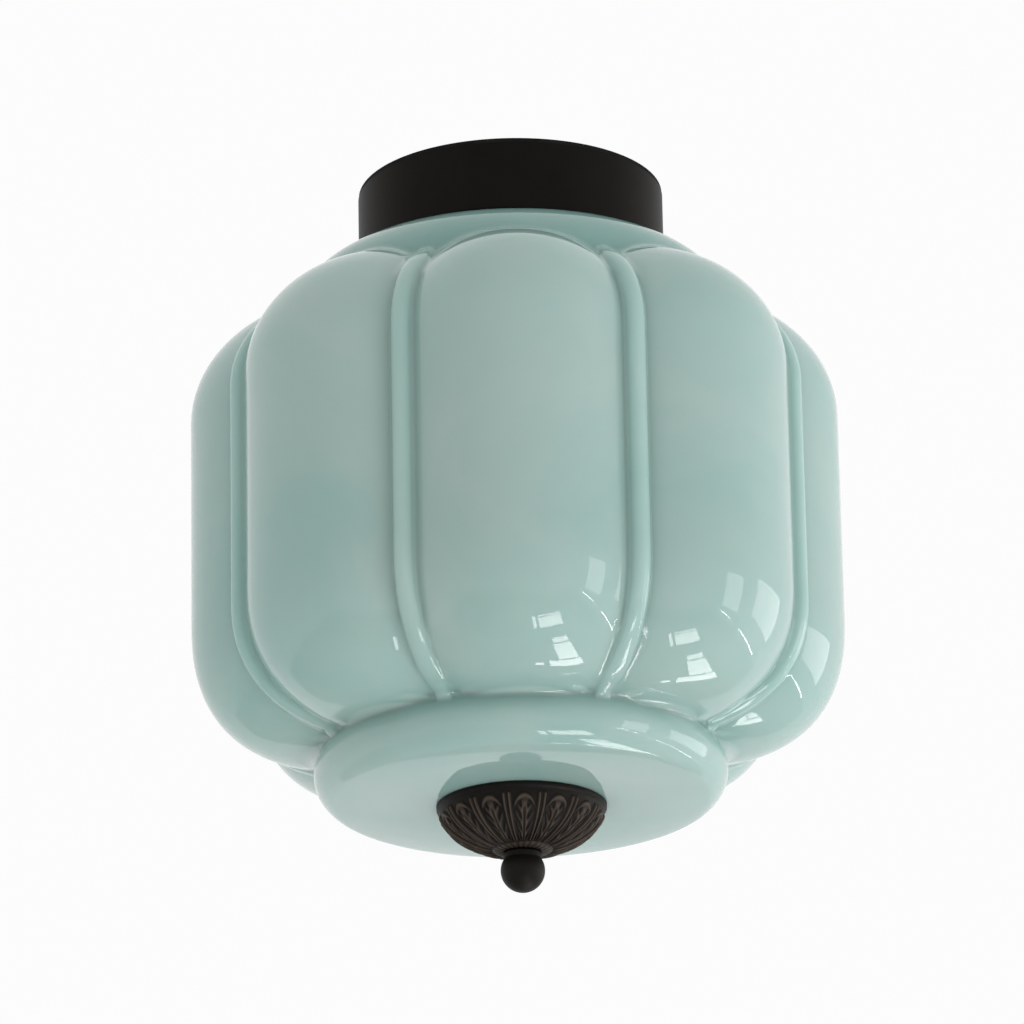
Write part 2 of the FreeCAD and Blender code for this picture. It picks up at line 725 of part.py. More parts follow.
# ---------------------------------------------------------------- the whole lantern
def all_parts():
    parts = {
        "mounting_crossbar": mounting_crossbar(),
        "earth_screw": earth_screw(),
        "earth_lug": earth_lug(),
        "earth_lead": earth_lead(),
        "terminal_block": terminal_block(),
        "pole_screws": pole_screws(),
        "block_screws": block_screws(),
        "ceiling_gasket": ceiling_gasket(),
        "canopy_pan": canopy_pan(),
        "lead_grommet": lead_grommet(),
        "neck_gasket": neck_gasket(),
        "centre_rod": centre_rod(),
        "glass_shade": glass_shade(),
        "leaf_cap": leaf_cap(),
        "cap_gasket": cap_gasket(),
        "neck_ring": neck_ring(),
        "ball_nut": ball_nut(),
        "ball_insert": ball_insert(),
        "lamp_bracket": lamp_bracket(),
        "holder_screws": holder_screws(),
    }
    parts.update(rod_nuts())
    parts.update(rod_washers())
    parts.update(lamp_leads())
    for x, side in ((-holder_offset, "left"), (holder_offset, "right")):
        parts["lampholder_" + side] = lampholder(x)
        parts["screw_shell_" + side] = screw_shell(x)
        parts["contact_tongue_" + side] = contact_tongue(x)
        parts["lamp_globe_" + side] = lamp_globe(x)
        parts["lamp_cap_" + side] = lamp_cap(x)
        parts["lamp_insulator_" + side] = lamp_insulator(x)
        parts["lamp_contact_" + side] = lamp_contact(x)
    return parts


os.makedirs(OUT, exist_ok=True)
for name, shape in all_parts().items():
    box = shape.BoundBox
    print("%-22s solids %d valid %s volume %10.1f  z %8.2f %8.2f" % (
        name, len(shape.Solids), shape.isValid(), shape.Volume, box.ZMin, box.ZMax))
    shape.exportStep(os.path.join(OUT, name + ".step"))
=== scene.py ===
import math
import bpy
import numpy as np
from mathutils import Matrix, Vector


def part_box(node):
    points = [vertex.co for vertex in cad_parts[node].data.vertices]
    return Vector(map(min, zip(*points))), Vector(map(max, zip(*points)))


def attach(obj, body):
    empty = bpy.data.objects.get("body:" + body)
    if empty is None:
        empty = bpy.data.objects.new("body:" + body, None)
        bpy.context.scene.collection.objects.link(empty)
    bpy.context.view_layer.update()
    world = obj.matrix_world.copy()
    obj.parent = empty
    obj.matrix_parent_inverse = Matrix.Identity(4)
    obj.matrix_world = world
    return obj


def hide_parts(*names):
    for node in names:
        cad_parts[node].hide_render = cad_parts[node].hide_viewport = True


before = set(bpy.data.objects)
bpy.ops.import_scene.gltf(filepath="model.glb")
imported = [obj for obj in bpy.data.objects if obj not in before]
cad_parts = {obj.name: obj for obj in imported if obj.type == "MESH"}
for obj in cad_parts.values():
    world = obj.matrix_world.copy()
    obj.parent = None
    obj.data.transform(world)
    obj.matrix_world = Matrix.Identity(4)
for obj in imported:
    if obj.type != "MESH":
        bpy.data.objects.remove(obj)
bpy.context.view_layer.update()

scene = bpy.context.scene
scene.view_settings.view_transform = "Standard"


# ------------------------------------------------------------------ camera
# A long lens far below the lantern and in front of it, looking up by about twenty degrees,
# with the slight roll that the photograph has.
camera_turn = math.radians(-1.05)      # about the lantern's axis, away from straight ahead
camera_roll = math.radians(-1.068)
camera_lens = 251.56                   # millimetres, on a sensor 36 wide
camera_place = Vector((-0.001915, -3.11756, -1.28152))
camera_aim = Vector((-0.001915, 0.0, -0.157715))

camera_data = bpy.data.cameras.new("view_camera")
camera_data.lens = camera_lens
camera_data.sensor_width = 36.0
camera = bpy.data.objects.new("view_camera", camera_data)
scene.collection.objects.link(camera)
turn = Matrix.Rotation(camera_turn, 4, "Z")
facing = (camera_aim - camera_place).to_track_quat("-Z", "Y").to_matrix().to_4x4()
camera.matrix_world = turn @ Matrix.Translation(camera_place) @ facing @ Matrix.Rotation(camera_roll, 4, "Z")
scene.camera = camera


# ------------------------------------------------------------------ floor, background and lamps
# A pale plain floor far below the ceiling and a white background that polished surfaces see too.
# Three broad panels light the lantern and don't show in its gloss. Tall panes, bright sills and
# two low windows at the right show in it.
floor_level = -2.6
floor_half = 4.0
floor_colour = (0.80, 0.80, 0.79, 1.0)
background_white = (0.975, 0.975, 0.975, 1.0)
ambient_colour = (1.0, 0.985, 0.965, 1.0)
ambient_strength = 0.62
lantern_middle = Vector((0.03, -0.10, -0.25))                      # what every panel faces

corners = [(-floor_half, -floor_half, floor_level), (floor_half, -floor_half, floor_level),
           (floor_half, floor_half, floor_level), (-floor_half, floor_half, floor_level)]
floor_mesh = bpy.data.meshes.new("floor")
floor_mesh.from_pydata(corners, [], [(0, 1, 2, 3)])
floor = bpy.data.objects.new("floor", floor_mesh)
scene.collection.objects.link(floor)


def set_inputs(node, **inputs):
    """Set a node's unlinked inputs by name."""
    for name, value in inputs.items():
        node.inputs[name.replace("_", " ")].default_value = value
    return node


def add_node(tree, kind, **inputs):
    """A new node with its unlinked inputs set by name."""
    return set_inputs(tree.nodes.new(kind), **inputs)


def calc(tree, operation, *terms):
    """A maths node; each term is a number or another node's output."""
    node = tree.nodes.new("ShaderNodeMath")
    node.operation = operation
    for socket, term in zip(node.inputs, terms):
        if isinstance(term, (int, float)):
            socket.default_value = term
        else:
            tree.links.new(term, socket)
    return node.outputs[0]


def new_material(name):
    """A material with its Principled shader, ready for its own nodes."""
    material = bpy.data.materials.new(name)
    material.use_nodes = True
    return material, material.node_tree, material.node_tree.nodes["Principled BSDF"]


floor_paint, _, shader = new_material("floor_paint")
set_inputs(shader, Base_Color=floor_colour, Roughness=0.7)
floor_mesh.materials.append(floor_paint)

world = bpy.data.worlds.new("studio")
scene.world = world
world.use_nodes = True
sky = world.node_tree
sky.nodes.clear()
rays = sky.nodes.new("ShaderNodeLightPath")
seen_or_glossy = calc(sky, "MAXIMUM", rays.outputs["Is Camera Ray"], rays.outputs["Is Glossy Ray"])
sees_white = calc(sky, "MAXIMUM", seen_or_glossy, rays.outputs["Is Transmission Ray"])
ambient = add_node(sky, "ShaderNodeBackground", Color=ambient_colour, Strength=ambient_strength)
white = add_node(sky, "ShaderNodeBackground", Color=background_white, Strength=1.0)
choose = sky.nodes.new("ShaderNodeMixShader")
world_out = sky.nodes.new("ShaderNodeOutputWorld")
sky.links.new(sees_white, choose.inputs[0])
sky.links.new(ambient.outputs[0], choose.inputs[1])
sky.links.new(white.outputs[0], choose.inputs[2])
sky.links.new(choose.outputs[0], world_out.inputs[0])


def panel_axes(place, across):
    """Sideways, upwards and away from the lantern, for a panel whose width lies along across."""
    away = (Vector(place) - lantern_middle).normalized()
    upward = away.cross(Vector(across)).normalized()
    return upward.cross(away), upward, away


def soft_panel(name, place, across, width, height, brightness):
    """A rectangular lamp at place that faces the lantern, its width along across."""
    lamp = bpy.data.lights.new(name, "AREA")
    lamp.shape = "RECTANGLE"
    lamp.size = width
    lamp.size_y = height
    lamp.energy = brightness * math.pi * width * height
    panel = bpy.data.objects.new(name, lamp)
    scene.collection.objects.link(panel)
    turned_to = Matrix(panel_axes(place, across)).transposed().to_4x4()
    panel.matrix_world = Matrix.Translation(Vector(place)) @ turned_to
    return panel


def window(name, place, across, panes, brightness):
    """Panes of light, each (sideways, up, width, height) in metres from the window's middle."""
    sideways, upward, _ = panel_axes(place, across)
    for number, (right, up, width, height) in enumerate(panes):
        middle = Vector(place) + sideways * right + upward * up
        pane = soft_panel("%s_%d" % (name, number), middle, across, width, height, brightness)
        pane.visible_diffuse = False


for panel in (soft_panel("key_panel", (2.4, -1.6, -1.0), (0.5, 0.86, 0.0), 1.4, 1.6, 2.2),
              soft_panel("fill_panel", (-2.2, -2.2, -1.3), (0.7, -0.7, 0.0), 1.6, 1.6, 0.6),
              soft_panel("low_panel", (0.5, -0.6, -2.3), (1.0, 0.0, 0.2), 1.6, 1.6, 1.12)):
    panel.visible_glossy = False
soft_panel("side_pane_near", (2.08, -1.04, -0.50), (0.35, 0.93, 0.0), 0.66, 0.95, 2.3)
soft_panel("side_pane_far", (2.15, 0.50, -0.35), (-0.25, 0.97, 0.0), 1.30, 0.85, 2.3)
window("side_sill_near", (1.92, -1.07, -1.16), (0.37, 0.90, -0.21), [(0.0, 0.0, 0.56, 0.035)], 14.0)
window("side_sill_far", (1.96, 0.33, -1.285), (-0.20, 0.98, 0.04), [(0.0, 0.0, 1.27, 0.035)], 14.0)
window("low_window_near", (0.725, -1.12, -2.135), (0.95, 0.05, 0.30),
       [(-0.40, -0.01, 0.10, 0.56), (0.09, -0.05, 0.72, 0.46), (0.09, 0.25, 0.72, 0.06)], 7.0)
window("low_window_far", (0.885, 0.40, -2.19), (0.93, 0.0, 0.34),
       [(0.0, 0.60, 0.42, 0.24), (0.0, 0.02, 0.46, 0.78), (-0.08, -0.58, 0.70, 0.30),
        (-0.60, -0.62, 0.14, 0.14)], 7.0)


# ------------------------------------------------------------------ glass shade
# One heavy piece of mint opaline glass, blown into a mould: eight rounded lobes with a half-round
# bead standing in each valley, a domed collar above and a round foot below. Its underside closes
# it round the tube, and its open top sits against the canopy's gasket.
shade_low, shade_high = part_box("glass_shade")
lobe_count = 8
crest_radius = (shade_high.x - shade_low.x) / 2
shade_top = shade_high.z
shade_bottom = shade_low.z
valley_depth = 0.0145
valley_radius = crest_radius - valley_depth
bead_radius = 0.0053
bead_blend = 0.0016                    # the soft join between a bead and the lobes beside it
bead_rise = 0.0040                     # a bead ends this far above the lobes' lower end
bead_path_radius = 0.0915              # below the hip the beads run straight down here
glass_wall = 0.0036
neck_radius = 0.060
rod_hole_radius = 0.007
collar_round = 0.0334
collar_rim_radius = 0.0722
collar_blend = 0.0040
lobe_top = shade_top - 0.0157
shoulder_height = 0.0600               # the lobes' crest: height, radius at its end, power of its oval
shoulder_radius = 0.0763
shoulder_power = 2.0
valley_shoulder_radius = 0.050
straight_height = 0.0988
hip_height = 0.0635
hip_radius = 0.0914
hip_power = 2.4
valley_hip_drop = 0.0068               # the valley runs straight this much further down
valley_hip_height = 0.057
valley_hip_radius = 0.066
valley_hip_power = 2.3
foot_radius = 0.0948
foot_round = 0.0152
foot_blend = 0.0035
straight_top = lobe_top - shoulder_height
straight_bottom = straight_top - straight_height
lobe_bottom = straight_bottom - hip_height
foot_centre = shade_bottom + foot_round
turn_up_radius = 0.062                 # the underside is flat out to here
turn_up_round = 0.165                  # and turns up on this radius to meet the foot's edge
turn_up_blend = 0.0008
search_reach = 0.07                    # the shade's upper face is within this of the collar's centre
search_halvings = 30
row_crowding = 0.055                   # rows of points crowd where the side curves most
painted_shade_end = 0.0018                     # the collar's painted shade under the canopy has faded this far off its dome
painted_shade_fade = 0.0010
collar_centre = shade_top - collar_round


def oval(height, reach, low_radius, high_radius, power):
    """Radius on an oval shoulder: high_radius at height 0, low_radius at height reach."""
    share = np.clip(height / reach, 0.0, 1.0)
    return low_radius + (high_radius - low_radius) * (1 - share ** power) ** (1 / power)


def crest_at(z, inset):
    """Radius of a lobe's crest at level z."""
    full = crest_radius - inset
    above = oval(z - straight_top, shoulder_height - inset, shoulder_radius - inset, full, shoulder_power)
    below = oval(straight_bottom - z, hip_height - inset, hip_radius - inset, full, hip_power)
    return np.where(z > straight_top, above, below)


def valley_at(z, inset):
    """Radius of the valley between two lobes at level z."""
    full = valley_radius - inset
    above = oval(z - straight_top, shoulder_height - inset, valley_shoulder_radius - inset,
                 full, shoulder_power)
    below = oval(straight_bottom - valley_hip_drop - z, valley_hip_height - inset,
                 valley_hip_radius - inset, full, valley_hip_power)
    return np.where(z > straight_top, above, below)


def soft_max(a, b, blend):
    """The larger of two, with a rounded fillet of about the blend's width where they meet."""
    near = np.maximum(blend - np.abs(a - b), 0) / blend
    return np.maximum(a, b) + near ** 3 * blend / 6


def lobed_radius(angle, z, inset):
    """Radius of the lobes, and outside of the beads too, at an angle from a lobe's middle."""
    crest, valley = crest_at(z, inset), valley_at(z, inset)
    half_bead = np.arcsin(bead_radius / valley)
    edge = math.pi / lobe_count - half_bead
    across, along = valley * np.cos(edge), valley * np.sin(edge)
    centre = (across ** 2 + along ** 2 - crest ** 2) / (2 * (across - crest))
    room = (crest - centre) ** 2 - (centre * np.sin(angle)) ** 2
    lobe = centre * np.cos(angle) + np.sqrt(np.maximum(room, 0))
    if inset:
        return lobe
    beside = math.pi / lobe_count - np.abs(angle)
    bead_end = lobe_bottom + bead_rise
    path = np.maximum(valley, bead_path_radius)
    size = np.sqrt(np.maximum(bead_radius ** 2 - np.maximum(bead_end - z, 0) ** 2, 0))
    bump = np.sqrt(np.maximum(size ** 2 - (path * np.sin(beside)) ** 2, 0))
    bead = np.where(bump > 0, path * np.cos(beside) + bump, 0)
    return soft_max(lobe, bead, bead_blend)


def collar_reach(angle, tilt, inset):
    """Distance of the surface from the collar's centre along a ray tilted up from level.

    Where the lobes rise through the dome, their face is found by halving the range."""
    low, high = np.zeros_like(angle + tilt), np.full_like(angle + tilt, search_reach)
    for _ in range(search_halvings):
        middle = (low + high) / 2
        z = collar_centre + middle * np.sin(tilt)
        inside = collar_rim_radius + middle * np.cos(tilt) < lobed_radius(angle, z, inset)
        inside &= z < lobe_top
        low, high = np.where(inside, middle, low), np.where(inside, high, middle)
    return soft_max(low, collar_round - inset, collar_blend)


def level_radius(angle, z, inset):
    """Radius of the shade's side at level z, between the collar's centre and the foot's."""
    below_collar = np.maximum((collar_round - inset) ** 2 - (z - collar_centre) ** 2, 0)
    collar = collar_rim_radius + np.sqrt(below_collar)
    rise = z - foot_centre
    round_edge = np.sqrt(np.maximum((foot_round - inset) ** 2 - rise ** 2, 0))
    foot = foot_radius - foot_round + round_edge - np.maximum(rise - foot_round + inset, 0)
    body = np.where(z > lobe_bottom, lobed_radius(angle, z, inset), 0)
    return soft_max(soft_max(body, collar, collar_blend), foot, foot_blend)


def underside(radius):
    """How far the underside has risen at a radius: flat in the middle, then turning up softly."""
    out = np.maximum(radius - turn_up_radius, 0.0)
    return out ** 2 / (2 * turn_up_round)


def shade_side(angle, inset, collar_steps, side_steps, foot_steps):
    """Rows of (radius, level) from the collar's top, down the side, to the foot's underside."""
    rows = []
    for tilt in np.radians(np.linspace(90, 0, collar_steps, endpoint=False)):
        reach = collar_reach(angle, tilt, inset)
        rows.append((collar_rim_radius + reach * math.cos(tilt), collar_centre + reach * math.sin(tilt)))
    share = np.linspace(0, 1, side_steps, endpoint=False)
    share = share - row_crowding * np.sin(4 * math.pi * share)
    for z in collar_centre + (foot_centre - collar_centre) * share:
        rows.append((level_radius(angle, z + 0 * angle, inset), z + 0 * angle))
    turned = foot_round - inset
    inner = foot_radius - foot_round
    under = shade_bottom + inset
    for radius in inner + turned * np.cos(np.radians(np.linspace(0, 90, foot_steps))):
        arc = foot_centre - math.sqrt(max(turned ** 2 - (radius - inner) ** 2, 0))
        rows.append((radius + 0 * angle, soft_max(arc, under + underside(radius), turn_up_blend) + 0 * angle))
    for radius in np.linspace(inner, turn_up_radius, 9)[1:]:
        rows.append((radius + 0 * angle, under + underside(radius) + 0 * angle))
    return rows


def on_collar(radius, level):
    """1 where the glass is the collar's dome, which gets painted shade under the canopy, 0 beyond it, where
    the lobes begin.
    """
    away = np.hypot(radius - collar_rim_radius, level - collar_centre) - collar_round
    dome = np.clip((painted_shade_end - away) / painted_shade_fade, 0, 1) * (radius > collar_rim_radius)
    return np.where(level > collar_centre, dome, 0.0)


def flat_rows(angle, points):
    """Rows that keep one radius and one level all along."""
    return [(radius + 0 * angle, level + 0 * angle) for radius, level in points]


def band_mesh(name, radius, level, turn, attribute, values):
    """A band of rows that closes on itself, each point at a turn about the axis, with an attribute."""
    points = np.stack([radius * np.cos(turn), radius * np.sin(turn), level], -1)
    tall, wide = radius.shape
    faces = []
    for row in range(tall):
        this, after = row * wide, (row + 1) % tall * wide
        for step in range(wide - 1):
            faces.append((this + step, after + step, after + step + 1, this + step + 1))
    mesh = bpy.data.meshes.new(name)
    mesh.from_pydata(points.reshape(-1, 3).tolist(), [], faces)
    mesh.attributes.new(attribute, "FLOAT", "POINT").data.foreach_set("value", values.reshape(-1))
    mesh.update()
    return mesh


def one_lobe_mesh():
    """An eighth of the shade: a closed band of rows, from valley to valley across one lobe."""
    half = math.pi / lobe_count
    bead_part = 1.25 * math.asin(bead_radius / valley_radius)      # the bead with its soft joins
    side = np.linspace(half, half - bead_part, 8)
    face = np.linspace(bead_part - half, half - bead_part, 29)[1:-1]
    angle = np.concatenate([-side, face, side[::-1]])
    lip = 0.0010                       # how far the edges at the neck and the tube's hole are rounded
    corner = 0.3 * lip
    inner_top = shade_top - glass_wall
    rows = flat_rows(angle, [(neck_radius, inner_top + lip), (neck_radius, shade_top - lip),
                             (neck_radius + corner, shade_top - corner), (neck_radius + lip, shade_top)])
    rows += shade_side(angle, 0.0, collar_steps=62, side_steps=104, foot_steps=16)
    under = shade_bottom
    rows += flat_rows(angle, [(0.05, under), (0.02, under), (rod_hole_radius + lip, under),
                              (rod_hole_radius, under + lip), (rod_hole_radius, under + glass_wall - lip),
                              (rod_hole_radius + lip, under + glass_wall), (0.05, under + glass_wall)])
    rows += shade_side(angle, glass_wall, collar_steps=10, side_steps=36, foot_steps=6)[::-1]
    rows += flat_rows(angle, [(neck_radius + lip, inner_top), (neck_radius + corner, inner_top + corner)])
    radius, level = np.array(rows).transpose(1, 0, 2)
    # The attribute holds how much painted shade the collar's dome gets under the canopy.
    return band_mesh("one_lobe", radius, level, angle - math.pi / 2, "painted_collar_shade", on_collar(radius, level))


clear_mint = (0.350, 0.558, 0.520, 1)
milky_mint = (0.455, 0.618, 0.582, 1)
# Painted shade: the creases are drawn towards this deep teal.
crease_shade_teal = (0.13, 0.26, 0.23, 1)
# Painted shade multiplied onto the collar's dome, which lies under the canopy.
collar_shade_tint = (0.62, 0.75, 0.74, 1)


def ramp(tree, factor, start, start_colour, end, end_colour):
    """A colour that goes from one to the other while the factor goes from start to end."""
    node = tree.nodes.new("ShaderNodeValToRGB")
    first, last = node.color_ramp.elements
    first.position, first.color = start, start_colour
    last.position, last.color = end, end_colour
    tree.links.new(factor, node.inputs["Fac"])
    return node.outputs["Color"]


def blended(tree, factor, colour, other, blend="MIX"):
    """A node's colour blended with a fixed one, as far as the factor says."""
    node = tree.nodes.new("ShaderNodeMix")
    node.data_type = "RGBA"
    node.blend_type = blend
    tree.links.new(factor, node.inputs["Factor"])
    tree.links.new(colour, node.inputs[6])
    node.inputs[7].default_value = other
    return node.outputs[2]


def shadowed(tree, colour, shade_colour, reach, amount):
    """The colour, drawn towards a deep shade colour in creases no wider than about the reach: painted shade.
    """
    crease = add_node(tree, "ShaderNodeAmbientOcclusion", Distance=reach)
    crease.samples = 8
    closed = add_node(tree, "ShaderNodeMapRange", From_Min=1.0, From_Max=0.0, To_Max=amount)
    tree.links.new(crease.outputs["AO"], closed.inputs["Value"])
    return blended(tree, closed.outputs["Result"], colour, shade_colour)


def opal_glass():
    """Mint glass, milky in its depth and glossy on its face, with painted shade: deep teal in the creases and
    a darker collar dome under the canopy.
    """
    material, tree, shader = new_material("mint_opal_glass")
    place = tree.nodes.new("ShaderNodeTexCoord")
    clouds = add_node(tree, "ShaderNodeTexNoise", Scale=9.0, Detail=3.0, Roughness=0.55, Distortion=0.8)
    painted_collar_shade = tree.nodes.new("ShaderNodeAttribute")
    painted_collar_shade.attribute_name = "painted_collar_shade"
    ripple = add_node(tree, "ShaderNodeTexNoise", Scale=14.0, Detail=1.0, Roughness=0.4)
    bump = add_node(tree, "ShaderNodeBump", Strength=0.06, Distance=0.002)
    tree.links.new(place.outputs["Object"], clouds.inputs["Vector"])
    tint = ramp(tree, clouds.outputs["Fac"], 0.30, clear_mint, 0.72, milky_mint)
    # Painted shade: the collar's dome darkened where it lies under the canopy.
    collar_shaded = blended(tree, painted_collar_shade.outputs["Fac"], tint, collar_shade_tint, "MULTIPLY")
    # Painted shade in the creases, where the glass is hemmed in within the reach.
    glass = shadowed(tree, collar_shaded, crease_shade_teal, reach=0.030, amount=0.75)
    tree.links.new(glass, shader.inputs["Base Color"])
    tree.links.new(place.outputs["Object"], ripple.inputs["Vector"])
    tree.links.new(ripple.outputs["Fac"], bump.inputs["Height"])
    tree.links.new(bump.outputs["Normal"], shader.inputs["Normal"])
    set_inputs(shader, Roughness=0.03, IOR=1.5, Subsurface_Weight=0.5,
               Subsurface_Radius=(0.010, 0.016, 0.015), Subsurface_Scale=1.0)
    return material


def tree_socket(tree, name, kind, in_out="INPUT"):
    """A new input or output of a geometry nodes tree."""
    return tree.interface.new_socket(name=name, in_out=in_out, socket_type=kind)


def round_the_axis_tree():
    """Geometry nodes: copies of a mesh set evenly round the lantern's axis and welded together."""
    tree = bpy.data.node_groups.new("round_the_axis", "GeometryNodeTree")
    tree_socket(tree, "Mesh", "NodeSocketGeometry")
    tree_socket(tree, "Copies", "NodeSocketInt")
    tree_socket(tree, "Weld distance", "NodeSocketFloat")
    tree_socket(tree, "Material", "NodeSocketMaterial")
    tree_socket(tree, "Mesh", "NodeSocketGeometry", "OUTPUT")
    start = tree.nodes.new("NodeGroupInput")
    end = tree.nodes.new("NodeGroupOutput")
    line = tree.nodes.new("GeometryNodeMeshLine")
    line.inputs["Offset"].default_value = (0, 0, 0)
    index = tree.nodes.new("GeometryNodeInputIndex")
    share = calc(tree, "DIVIDE", index.outputs[0], start.outputs["Copies"])
    spin = tree.nodes.new("ShaderNodeCombineXYZ")
    spread = tree.nodes.new("GeometryNodeInstanceOnPoints")
    realize = tree.nodes.new("GeometryNodeRealizeInstances")
    weld = tree.nodes.new("GeometryNodeMergeByDistance")
    paint = tree.nodes.new("GeometryNodeSetMaterial")
    link = tree.links.new
    link(start.outputs["Copies"], line.inputs["Count"])
    link(calc(tree, "MULTIPLY", share, 2 * math.pi), spin.inputs["Z"])
    link(line.outputs["Mesh"], spread.inputs["Points"])
    link(start.outputs["Mesh"], spread.inputs["Instance"])
    link(spin.outputs[0], spread.inputs["Rotation"])
    link(spread.outputs["Instances"], realize.inputs["Geometry"])
    link(realize.outputs["Geometry"], weld.inputs["Geometry"])
    link(start.outputs["Weld distance"], weld.inputs["Distance"])
    link(weld.outputs["Geometry"], paint.inputs["Geometry"])
    link(start.outputs["Material"], paint.inputs["Material"])
    link(paint.outputs["Geometry"], end.inputs["Mesh"])
    return tree


def grown(name, mesh, tree, values):
    """A plain mesh object: the start mesh put through a geometry nodes tree with these inputs."""
    source = bpy.data.objects.new(name + "_source", mesh)
    scene.collection.objects.link(source)
    modifier = source.modifiers.new("shape", "NODES")
    modifier.node_group = tree
    items = tree.interface.items_tree
    sockets = {item.name: item.identifier for item in items if item.in_out == "INPUT"}
    for key, value in values.items():
        modifier[sockets[key]] = value
    result = bpy.data.meshes.new_from_object(source.evaluated_get(bpy.context.evaluated_depsgraph_get()))
    result.name = name
    bpy.data.objects.remove(source)
    piece = bpy.data.objects.new(name, result)
    scene.collection.objects.link(piece)
    result.polygons.foreach_set("use_smooth", [True] * len(result.polygons))
    result.update()
    return piece


round_the_axis = round_the_axis_tree()
shade = grown("opal_shade", one_lobe_mesh(), round_the_axis,
              {"Copies": lobe_count, "Weld distance": 1e-5, "Material": opal_glass()})
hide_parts("glass_shade")
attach(shade, "shade")


# ------------------------------------------------------------------ leaf cap
# A cast bronze cap, about eighty millimetres across, that carries the shade on the ledge inside
# its rim. Fourteen leaves with herringbone veins stand up from it, with a pair of ribs between
# each two leaves, and all run down to a scalloped ring round the neck.
cap_low, cap_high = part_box("leaf_cap")
cap_radius = (cap_high.x - cap_low.x) / 2
cap_rim = cap_high.z
cap_seat = cap_low.z
cap_depth = 0.0232
cap_wall = 0.0024
cap_ledge_drop = 0.0013
cap_ledge_width = 0.0070
cap_boss_radius = 0.0100
cap_hole_radius = 0.0053
leaf_count = 14
leaf_turn = math.radians(1.0)          # the front leaf stands a little to the right
leaf_ground = 0.0013                   # how deep the ground between the leaves lies
rim_bevel = 0.0002
tip_angle = 13.5                       # degrees down from the rim, where a leaf's tip is
tip_rounding = 11.0                    # and how much further down its sides begin
leaf_half_width = 0.62                 # a share of half the spacing, as are the places across
leaf_height = 0.00090                  # heights over the ground, or depths below the leaf
curl_height = 0.00025
fold_depth = 0.00045
midrib_depth = 0.00065
midrib_edge = 0.00035
slit_depth = 0.00140
slit_spacing = 13.0                    # degrees
slit_slant = 30.0                      # degrees a slit would climb from a leaf's middle to the gap
rib_place = 0.855
rib_width = 0.070
rib_height = 0.00125
gap_height = 0.00015
lip_height = 0.00105
ring_height = 0.00045
scallop_height = 0.00030
full_relief = 0.0014                   # relief this high is rubbed to the lightest bronze
rub_share = 0.35                       # how much the rubbing wanders


def ridge(distance, width):
    """1 on a line and falling off softly beside it."""
    return np.exp(-(distance / width) ** 2)


def step_up(value, start, end):
    """A smooth rise from 0 at the start to 1 at the end."""
    share = np.clip((value - start) / (end - start), 0, 1)
    return share * share * (3 - 2 * share)


def leaf_relief(across, down):
    """Heights of the leaves and of the rim's lip over the ground, in metres.

    across runs from -1 to 1 over one leaf, down is an angle on the cap's oval section."""
    side = np.abs(across)
    degrees = np.degrees(down)
    in_leaves = step_up(degrees, 9, 13) * (1 - step_up(degrees, 65, 70))
    tip = tip_angle + tip_rounding * (side / leaf_half_width) ** 2
    inside = step_up(degrees, tip - 1.5, tip + 2.0) * (1 - step_up(side, 0.50, 0.66))
    body = leaf_height * inside * np.sqrt(np.clip(1 - (side / 0.68) ** 2, 0, 1))
    curl = curl_height * ridge(degrees - tip - 1.8, 2.2) * (1 - step_up(side, 0.56, 0.72))
    fold = -fold_depth * ridge(degrees - tip - 6.5, 2.4) * (1 - step_up(side, 0.45, 0.6))
    midrib = midrib_edge * ridge(side - 0.17, 0.07) - midrib_depth * ridge(across, 0.075)
    vein = (degrees + slit_slant * side) / slit_spacing
    slit = ridge(vein - np.floor(vein) - 0.5, 0.30) * step_up(side, 0.10, 0.22)
    slits = -slit_depth * slit * (1 - step_up(side, 0.54, 0.68)) * step_up(degrees, tip + 4, tip + 8)
    ribs = rib_height * ridge(side - rib_place, rib_width) * step_up(degrees, 10, 14)
    gap = gap_height * ridge(side - 1.0, 0.05)
    cut = (midrib * step_up(degrees, 25, 31) + slits) * inside
    leaves = (body + curl + fold + cut + ribs + gap) * in_leaves
    scallop = 0.5 - 0.5 * np.cos(2 * math.pi * across)
    ring = (ring_height + scallop_height * scallop) * step_up(degrees, 68.5, 71.5)
    lip = lip_height * (1 - step_up(degrees, 4.0, 7.0))
    return np.maximum(leaves, 0) + ring, lip


